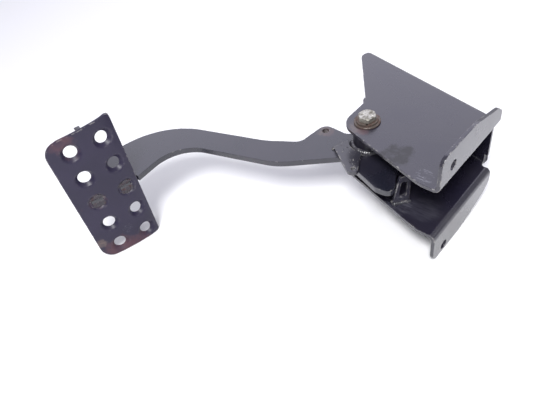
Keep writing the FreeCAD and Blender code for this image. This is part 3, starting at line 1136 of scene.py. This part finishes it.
@dataclass
class Welding:
    """Every weld of the assembly."""

    welder: Welder
    pad: FootPad
    painted: Material
    rusty: Material
    tube: float = 13.5 * MM
    pad_run: tuple[float, float] = (-6 * MM, 40 * MM)   # where the pad's beads start and end

    def _ring(self, name: str, node: str, side: int) -> None:
        """Lay the bead round the pivot tube on one face of the arm.

        Args:
            name: The piece's name.
            node: The CAD node that it replaces.
            side: 1 for the arm's upper face, -1 for its lower one.
        """
        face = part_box("pedal_arm")[1 if side > 0 else 0].z
        radius = self.tube + 0.5 * MM
        count = round(2 * math.pi * radius / self.welder.step)
        path = []
        out = []
        for i in range(count):
            angle = 2 * math.pi * i / count
            ray = towards(angle)
            path.append((on_axis(face + side * 0.5 * MM) + ray * radius, UP.cross(ray)))
            out.append(ray + UP * side)
        bead = self.welder.bead(path, out, 4 * MM)
        hand_over(bead, name, self.painted, Body.PEDAL, "painted_weld", node)

    def _line(
        self, name: str, node: str, ends: tuple[Vector, Vector], out: Vector, leg: float, body: Body
    ) -> None:
        """Lay a straight bead between two points.

        Args:
            name: The piece's name.
            node: The CAD node that it replaces.
            ends: The two points.
            out: The direction that the bead's face points to.
            leg: Length of the bead's leg.
            body: The body that it rides on.
        """
        run = ends[1] - ends[0]
        count = max(2, round(run.length / self.welder.step))
        path = [(ends[0] + run * (i / count), run) for i in range(count + 1)]
        bead = self.welder.bead(path, [out] * len(path), leg)
        hand_over(bead, name, self.painted, body, "painted_weld", node)

    def _pad_bead(self, name: str, node: str, side: int, leg: float) -> None:
        """Lay the bead between one face of the arm and the back of the pad.

        Args:
            name: The piece's name.
            node: The CAD node that it replaces.
            side: 1 for the arm's upper face, -1 for its lower one.
            leg: Length of the bead's leg.
        """
        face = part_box("pedal_arm")[1 if side > 0 else 0].z - PIVOT.z
        first, last = self.pad_run
        root = max(0.4 * MM, 0.75 * leg - 2.4 * MM)     # keeps the drops behind the foot side
        count = round((last - first) / self.welder.step)
        path = []
        out = []
        for i in range(count + 1):
            s = first + (last - first) * i / count
            point = self.pad.bend(s, face + side * 0.4 * MM, self.pad.sheet + root)
            ahead = self.pad.bend(s + MM, 0, self.pad.sheet) - self.pad.bend(s, 0, self.pad.sheet)
            back = self.pad.bend(s, 0, self.pad.sheet + MM) - self.pad.bend(s, 0, self.pad.sheet)
            path.append((point, ahead))
            out.append(back.normalized() + UP * side)
        bead = self.welder.bead(path, out, leg)
        hand_over(bead, name, self.rusty, Body.PEDAL, "rusty_weld", node)

    def build(self) -> None:
        """Lay every bead and scatter the spatter."""
        self._ring("hub_bead_upper", "upper_hub_weld", 1)
        self._ring("hub_bead_lower", "lower_hub_weld", -1)
        self._pad_bead("pad_bead_upper", "upper_pad_weld", 1, 4.4 * MM)
        self._pad_bead("pad_bead_lower", "lower_pad_weld", -1, 6.4 * MM)
        arm_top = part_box("pedal_arm")[1].z
        corner = PIVOT + Vector((-22.6 * MM, -22.6 * MM, 0))
        edge = PIVOT + Vector((-19.4 * MM, -12.4 * MM, 0))
        corner.z = edge.z = arm_top + 0.3 * MM
        away = Vector((-0.8, 0.25, 1))
        self._line("lever_bead", "spring_lever_weld", (corner, edge), away, 2.8 * MM, Body.PEDAL)
        foot = PIVOT + Vector((45.6 * MM, -29.6 * MM, 0))
        heel = PIVOT + Vector((55.6 * MM, -18.2 * MM, 0))
        foot.z = heel.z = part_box("stop_tab")[0].z + 0.2 * MM
        run = (heel - foot).normalized()
        for end, side in (("near", 1), ("far", -1)):
            across = run.cross(UP) * side
            shift = across * (1.8 * MM)
            ends = (foot + run * MM + shift, heel - run * MM + shift)
            self._line(
                f"tab_bead_{end}", f"stop_tab_weld_{end}", ends, across + UP, 2.6 * MM, Body.BRACKET
            )
        self._scatter(arm_top)

    def _scatter(self, arm_top: float) -> None:
        """Spatter on the lever, on the arm beside the hub and on the lower cheek by the tab.

        Args:
            arm_top: Height of the arm's upper face.
        """
        dice = self.welder.dice
        lever_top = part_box("spring_lever")[1].z
        spots = []
        while len(spots) < 60:
            x = dice.uniform(-18, 12)
            y = dice.uniform(-41, -17)
            edge_line = -22 - (x + 20) * 0.72
            if y < edge_line + 2.5 or math.hypot(x, y) < 19:
                continue
            spots.append(PIVOT + Vector((x * MM, y * MM, lever_top - PIVOT.z)))
        balls = self.welder.spatter(spots, 0.2 * MM, 0.65 * MM)
        hand_over(balls, "lever_spatter", self.painted, Body.PEDAL, "painted_weld")
        spots = []
        for _ in range(26):
            angle = dice.uniform(math.radians(150), math.radians(235))
            radius = dice.uniform(19.5, 27) * MM
            spots.append(on_axis(arm_top) + towards(angle) * radius)
        balls = self.welder.spatter(spots, 0.15 * MM, 0.5 * MM)
        hand_over(balls, "arm_spatter", self.painted, Body.PEDAL, "painted_weld")
        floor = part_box("stop_tab")[0].z
        spots = []
        for _ in range(34):
            x = 46 + dice.gauss(0, 9)
            y = -30 + dice.gauss(0, 5)
            if y > -34 or x < 62:
                spots.append(Vector((PIVOT.x + x * MM, max(PIVOT.y + y * MM, PIVOT.y - 36 * MM), floor)))
        spots = [s for s in spots if s.y - PIVOT.y > (-0.317 * (s.x - PIVOT.x) - 17 * MM)]
        balls = self.welder.spatter(spots, 0.15 * MM, 0.5 * MM)
        hand_over(balls, "tab_spatter", self.painted, Body.BRACKET, "painted_weld")


# ---- studio ----
@dataclass
class Studio:
    """White floor, soft overhead light and the camera."""

    camera_place: tuple[float, float, float] = (0.1251, -0.2857, 0.3270)
    camera_turn: tuple[float, float, float] = (43.989, 8.572, 41.306)
    lens: float = 34.17
    floor_size: float = 3.0
    sky: float = 0.5

    def _floor_plane(self) -> tuple[Vector, Vector]:
        """Plane that the assembly rests on: both ends of the pad's lower edge and the lower flange.

        Returns:
            A point of the plane and its normal.
        """
        pad_low, pad_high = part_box("foot_pad")
        bracket_low, bracket_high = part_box("bracket_channel")
        first = Vector((pad_low.x + 6 * MM, pad_low.y + 20 * MM, pad_low.z))
        second = Vector((pad_high.x - 2 * MM, pad_high.y - 10 * MM, pad_low.z))
        third = Vector((bracket_high.x, bracket_low.y + 10 * MM, bracket_low.z))
        normal = (second - first).cross(third - first).normalized()
        return third, normal if normal.z > 0 else -normal

    def build(self) -> None:
        """Make the floor, the lights and the camera."""
        point, normal = self._floor_plane()
        turn = normal.to_track_quat("Z", "Y").to_euler()
        centre = Vector((-0.12, -0.03, 0.0))
        centre.z = point.z - (normal.x * (centre.x - point.x) + normal.y * (centre.y - point.y)) / normal.z
        floor = new_piece(
            "studio_floor", bpy.ops.mesh.primitive_circle_add, vertices=96, fill_type="NGON",
            radius=self.floor_size / 2, location=centre - normal * (0.15 * MM), rotation=turn,
        )
        paper = bpy.data.materials.new("white_paper")
        paper.use_nodes = True
        white = {"Base Color": linear("#f4f4f6"), "Roughness": 0.9}
        set_inputs(paper.node_tree, paper.node_tree.nodes["Principled BSDF"], white)
        dress(floor, paper)
        world = bpy.data.worlds.new("soft_room")
        world.use_nodes = True
        light = {"Color": linear("#fbfbff"), "Strength": self.sky}
        set_inputs(world.node_tree, world.node_tree.nodes["Background"], light)
        bpy.context.scene.world = world
        self._softbox("key", Vector((0.225, -0.58, 1.0)), centre, (0.32, 0.32), 16.0)
        self._softbox("sheen_panel", Vector((-0.70, 0.80, 0.84)), centre, (1.95, 1.2), 9.4, "#ecebff")
        self._softbox("right_fill", Vector((0.85, 0.45, 0.75)), Vector((0.10, 0.05, 0.0)), (0.5, 0.5), 1.5)
        camera_data = bpy.data.cameras.new("camera")
        camera_data.sensor_width = 36.0
        camera_data.lens = self.lens
        camera_data.clip_start = 0.01
        camera = bpy.data.objects.new("camera", camera_data)
        camera.location = self.camera_place
        camera.rotation_euler = [math.radians(a) for a in self.camera_turn]
        bpy.context.scene.collection.objects.link(camera)
        bpy.context.scene.camera = camera
        bpy.context.scene.view_settings.view_transform = "Standard"

    def _softbox(
        self, name: str, place: Vector, target: Vector, size: tuple[float, float], power: float,
        colour: str = "#ffffff",
    ) -> None:
        """Soft rectangular light that looks at a point.

        Args:
            name: The light's name.
            place: Where it hangs.
            target: The point that it looks at.
            size: Its width and height, in metres.
            power: Its power in watts.
            colour: The colour of its light.
        """
        data = bpy.data.lights.new(name, "AREA")
        data.shape = "RECTANGLE"
        data.size, data.size_y = size
        data.energy = power
        data.color = linear(colour)[:3]
        lamp = bpy.data.objects.new(name, data)
        lamp.visible_camera = False
        lamp.location = place
        lamp.rotation_euler = (target - place).to_track_quat("-Z", "Y").to_euler()
        bpy.context.scene.collection.objects.link(lamp)


# ---- assembly ----
def at(x: float, y: float, z: float) -> tuple[float, float, float]:
    """Point given in millimetres from the pivot point."""
    return tuple(PIVOT + Vector((x, y, z)) * MM)


def bracket_marks() -> tuple[Mark, ...]:
    """Marks on the bracket: rust stain by the bolt, scratches on the near corner, dull patches darkened
    with painted shade.
    """
    return (
        Mark(MarkKind.HAZE, at(-2, -11, 29), 14 * MM, grain=3, amount=0.6, strength=0.35),
        Mark(MarkKind.RUST, at(4, -13, 29), 10 * MM, grain=2, amount=0.5, strength=0.6),
        # Dull patch on the upper cheek: rougher paint, and painted shade where its sheen is weaker.
        Mark(MarkKind.DULL, at(46, -24, 29), 24 * MM, grain=9, amount=0.45, strength=0.8, soft=0.1),
        Mark(
            MarkKind.SCUFF, at(78, -36, 29), 20 * MM, grain=0.8, amount=0.1, soft=0.06, turn=60,
            strength=0.6,
        ),
        Mark(MarkKind.SCUFF, at(66, -28, 29), 16 * MM, grain=0.6, amount=-0.1, soft=0.06, turn=-25),
        Mark(MarkKind.SCUFF, at(50, -30, -25), 26 * MM, grain=1.2, amount=0.1, strength=0.3, turn=35),
        Mark(MarkKind.SCUFF, at(72, -22, -25), 28 * MM, grain=1.6, amount=0.2, strength=0.14, turn=80),
    )


def pad_marks(pad: FootPad) -> tuple[Mark, ...]:
    """Marks on the pad: rust at two corners and round some holes, and scratches between holes.

    Args:
        pad: The pad.

    Returns:
        The marks.
    """
    def spot(s: float, h: float) -> tuple[float, float, float]:
        """Point of the foot side, in millimetres along and up."""
        return tuple(pad.bend(s * MM, h * MM, 0))

    return (
        Mark(MarkKind.RUST, spot(-4, 74), 19 * MM, grain=7, amount=0.45, strength=0.75),
        Mark(MarkKind.RUST, spot(-3, -69), 27 * MM, grain=7, amount=0.6, strength=0.8),
        Mark(MarkKind.RUST, spot(18, -71), 20 * MM, grain=5, amount=0.5, strength=0.7),
        Mark(MarkKind.RUST, spot(0, 0), 15 * MM, grain=4, amount=0.35, strength=0.5),
        Mark(MarkKind.RUST, spot(0, 60), 15 * MM, grain=4, amount=0.2, strength=0.5),
        Mark(MarkKind.HAZE, spot(-17, -50), 9 * MM, grain=4, amount=0.5, strength=0.6),
        Mark(MarkKind.SCUFF, spot(13, -46), 14 * MM, grain=0.8, amount=0.0, soft=0.06, turn=75),
    )


def main() -> None:
    """Build every class in order."""
    logging.basicConfig(level=logging.INFO, format="%(name)s: %(message)s")
    pad = FootPad()
    bracket_paint = Paint("black_enamel_bracket_paint", chips=0.42, marks=bracket_marks()).material()
    arm_marks = (
        Mark(MarkKind.HAZE, at(-46, -5, 3), 14 * MM, grain=3, amount=0.45, strength=0.4),
        Mark(MarkKind.RUST, at(-42, -6, 3), 11 * MM, grain=3, amount=0.4, strength=0.4),
        Mark(MarkKind.SCUFF, at(-62, -18, 3), 12 * MM, grain=0.8, amount=0.0, soft=0.06, turn=30),
    )
    pedal_paint = Paint("black_enamel_pedal_paint", colour="#1b1c27", chips=0.2, marks=arm_marks).material()
    pad_paint = Paint(
        "worn_black_pad_paint", colour="#1d1830", dull="#251f38", roughness=0.42, ior=1.45, coat=0.0,
        chips=0.5, marks=pad_marks(pad),
    ).material()
    weld_paint = Paint(
        "painted_weld_metal", colour="#201f27", dull="#302f38", roughness=0.28, chips=0.6
    ).material()
    weld_rust = RustySteel(
        "rusty_weld_metal", steel="#37333a", rust="#3b2a2e", cover=0.6, metallic=0.1
    ).material()
    washer_rust = RustySteel(
        "rusty_washer_steel", steel="#5d544f", rust="#4c3a34", cover=0.75, metallic=0.4
    ).material()
    zinc = Zinc("dulled_zinc_plate").material()
    nylon = Nylon("black_bush_nylon").material()
    steel = RustySteel("turned_sleeve_steel", cover=0.1).material()
    PlateWork(Body.BRACKET, "black_bracket_paint", ("bracket_channel", "stop_tab"), bracket_paint).build()
    plates = ("pedal_arm", "pivot_tube", "upper_pad_rib", "lower_pad_rib")
    PlateWork(Body.PEDAL, "black_pedal_paint", plates, pedal_paint).build()
    PlateWork(Body.PEDAL, "painted_weld", ("spring_lever",), weld_paint).build()
    pad.build(pad_paint)
    hardware = PivotHardware()
    hardware.bolt(zinc)
    hardware.nut(zinc)
    hardware.split_washer(washer_rust)
    for node, material in (
        ("upper_flat_washer", washer_rust),
        ("lower_flat_washer", washer_rust),
        ("spacer_sleeve", steel),
        ("upper_bush", nylon),
        ("lower_bush", nylon),
    ):
        dress(frame["nodes"][node], material)
    Welding(Welder(), pad, weld_paint, weld_rust).build()
    Studio().build()
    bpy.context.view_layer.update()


if __name__ == "__main__":
    main()
